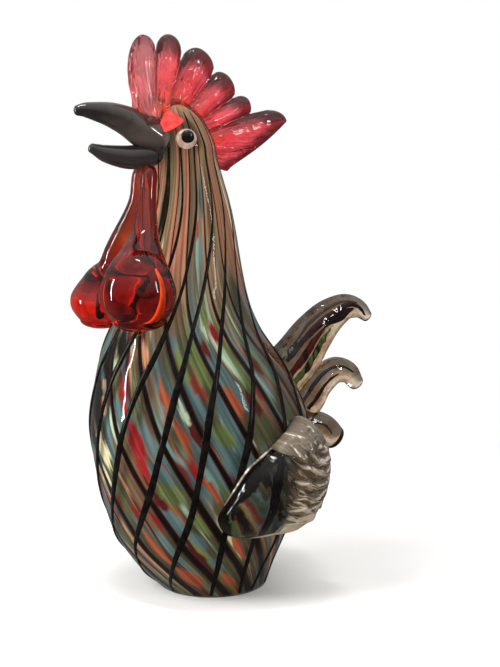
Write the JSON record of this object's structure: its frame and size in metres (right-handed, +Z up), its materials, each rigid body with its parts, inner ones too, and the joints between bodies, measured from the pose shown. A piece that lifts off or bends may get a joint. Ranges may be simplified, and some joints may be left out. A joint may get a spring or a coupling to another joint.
{
  "type": "glass rooster figurine",
  "caption": "Solid hot-worked glass rooster on a ground flat foot, with a coloured core, clear casing, twisted black canes, red comb and wattles, ribbed clear wings and a drawn tail.",
  "frame": {"origin": "middle of the outer box at the height of the ground foot, on the surface that the bird stands on", "axes": "+Z up, -Y forward towards the beak, +X towards the bird's left side"},
  "size_m": [0.1406, 0.1642, 0.2801],
  "materials": {
    "coloured_glass": "dense streaked frit colours: blue-grey, olive, green, brick red, amber and black",
    "clear_glass": "clear, fire polished",
    "black_glass": "opaque black, glossy",
    "red_glass": "deep transparent red, fire polished",
    "white_glass": "opaque white, glossy",
    "smoky_glass": "smoky amber-brown with dark streaks, fire polished"
  },
  "bodies": {
    "root": {"body_core": "coloured_glass", "body_casing": "clear_glass", "cane_01": "black_glass", "cane_02": "black_glass", "cane_03": "black_glass", "cane_04": "black_glass", "cane_05": "black_glass", "cane_06": "black_glass", "cane_07": "black_glass", "cane_08": "black_glass", "cane_09": "black_glass", "cane_10": "black_glass", "cane_11": "black_glass", "cane_12": "black_glass", "cane_13": "black_glass", "cane_14": "black_glass", "cane_15": "black_glass", "cane_16": "black_glass", "beak_upper": "black_glass", "beak_lower": "black_glass", "comb": "red_glass", "wattle_left": "red_glass", "wattle_right": "red_glass", "eye_left": "white_glass", "eye_right": "white_glass", "pupil_left": "black_glass", "pupil_right": "black_glass", "wing_left": "clear_glass", "wing_right": "clear_glass", "tail_feather_upper": "smoky_glass", "tail_feather_middle": "smoky_glass", "tail_feather_lower": "smoky_glass"}
  },
  "joints": []
}
